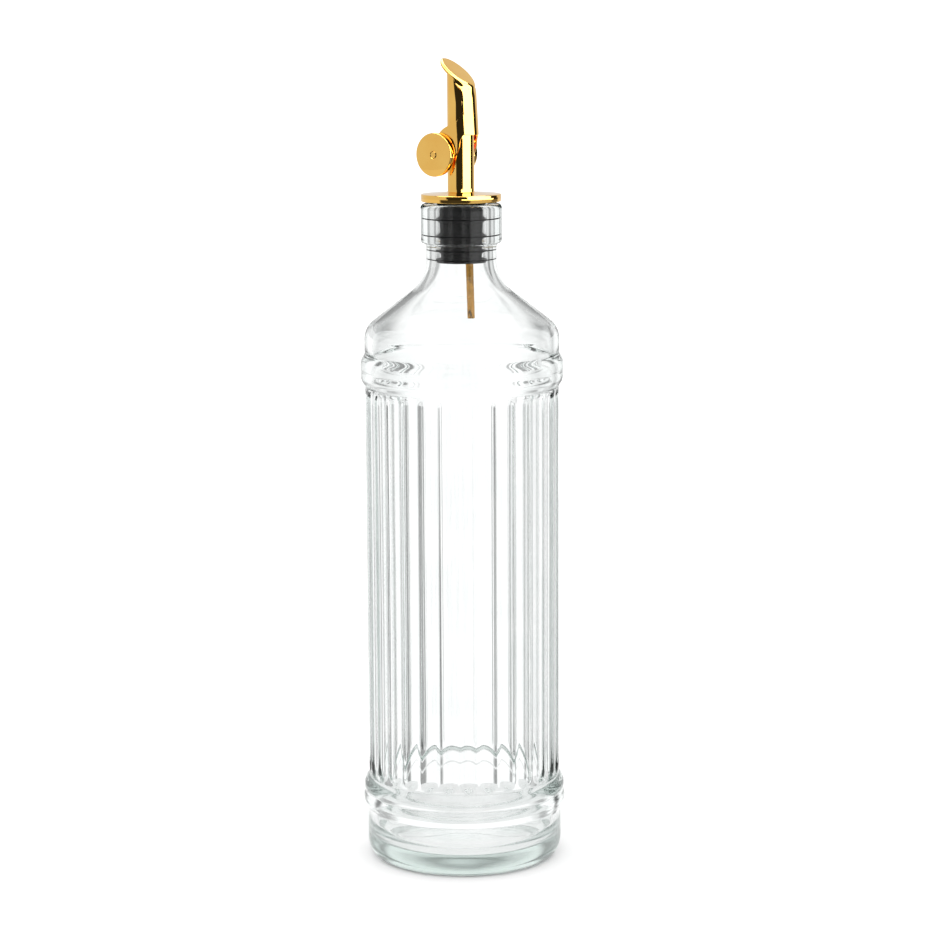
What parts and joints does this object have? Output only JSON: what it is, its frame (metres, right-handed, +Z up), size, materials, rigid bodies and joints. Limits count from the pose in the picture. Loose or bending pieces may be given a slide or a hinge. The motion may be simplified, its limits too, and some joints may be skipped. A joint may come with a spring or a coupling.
{
  "type": "oil bottle",
  "caption": "Tall clear fluted glass oil bottle with a finned rubber stopper and a polished gold pourer: slanted spout, breather tube and a weighted flap that swings open.",
  "frame": {"origin": "middle of the base ring, on the surface the bottle stands on", "axes": "+Z up along the bottle; the spout pours towards -X; the flap's pivot runs along Y"},
  "size_m": [0.0772, 0.0772, 0.3038],
  "materials": {
    "clear_glass": "clear pressed soda-lime glass, faintly green where it is thick",
    "black_rubber": "satin black moulded rubber",
    "gold_metal": "polished gold plating"
  },
  "bodies": {
    "bottle": {"glass_bottle": "clear_glass", "rubber_stopper": "black_rubber", "breather_tube": "gold_metal", "spout_flange": "gold_metal", "spout_tube": "gold_metal"},
    "flap": {"flap": "gold_metal", "weight_near": "gold_metal", "rivet_near": "gold_metal", "weight_far": "gold_metal", "rivet_far": "gold_metal"}
  },
  "joints": [
    {"name": "flap_hinge", "type": "hinge", "parent": "bottle", "child": "flap", "pos_m": [0.0008, 0, 0.2724], "axis": [0, 1, 0], "range_deg": [0, 50]}
  ]
}
